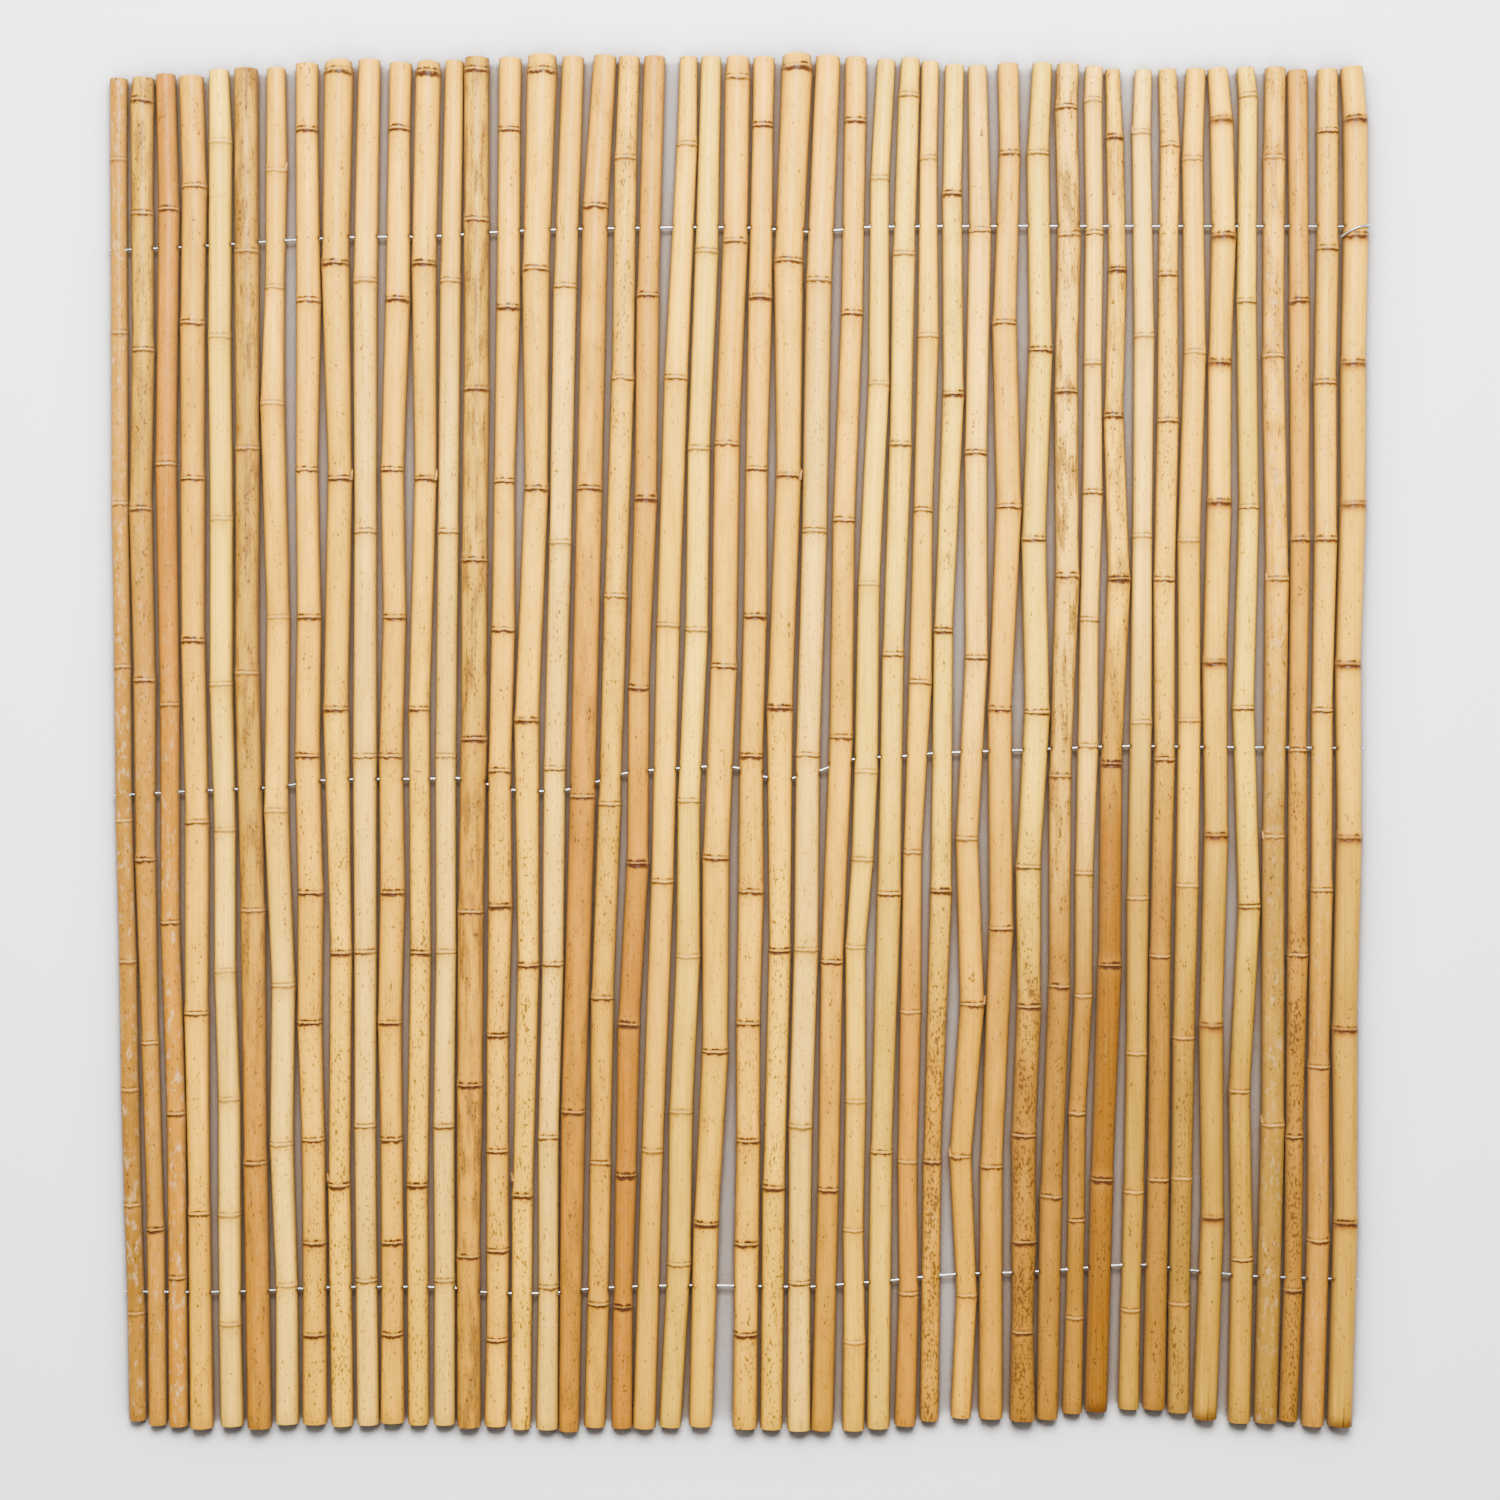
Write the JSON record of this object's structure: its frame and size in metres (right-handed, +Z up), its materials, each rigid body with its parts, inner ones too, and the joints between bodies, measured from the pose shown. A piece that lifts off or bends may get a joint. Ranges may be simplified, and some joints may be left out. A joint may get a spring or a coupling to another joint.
{
  "type": "bamboo screening",
  "caption": "Panel of bamboo culms strung side by side on three galvanised wires, lying unrolled, for fencing and screening.",
  "frame": {"origin": "bottom centre of the unrolled panel's box, on the surface it lies on", "axes": "+X across the culms along the wires, +Y along the culms from foot to head, +Z up from the surface"},
  "size_m": [1.1328, 1.23, 0.0286],
  "materials": {
    "bamboo": "satin",
    "wire": "dull galvanised"
  },
  "bodies": {
    "root": {"pole_01": "bamboo", "pole_02": "bamboo", "pole_03": "bamboo", "pole_04": "bamboo", "pole_05": "bamboo", "pole_06": "bamboo", "pole_07": "bamboo", "pole_08": "bamboo", "pole_09": "bamboo", "pole_10": "bamboo", "pole_11": "bamboo", "pole_12": "bamboo", "pole_13": "bamboo", "pole_14": "bamboo", "pole_15": "bamboo", "pole_16": "bamboo", "pole_17": "bamboo", "pole_18": "bamboo", "pole_19": "bamboo", "pole_20": "bamboo", "pole_21": "bamboo", "pole_22": "bamboo", "pole_23": "bamboo", "pole_24": "bamboo", "pole_25": "bamboo", "pole_26": "bamboo", "pole_27": "bamboo", "pole_28": "bamboo", "pole_29": "bamboo", "pole_30": "bamboo", "pole_31": "bamboo", "pole_32": "bamboo", "pole_33": "bamboo", "pole_34": "bamboo", "pole_35": "bamboo", "pole_36": "bamboo", "pole_37": "bamboo", "pole_38": "bamboo", "pole_39": "bamboo", "pole_40": "bamboo", "pole_41": "bamboo", "pole_42": "bamboo", "pole_43": "bamboo", "pole_44": "bamboo", "pole_45": "bamboo", "pole_46": "bamboo", "wire_top": "wire", "wire_middle": "wire", "wire_bottom": "wire"}
  },
  "joints": []
}
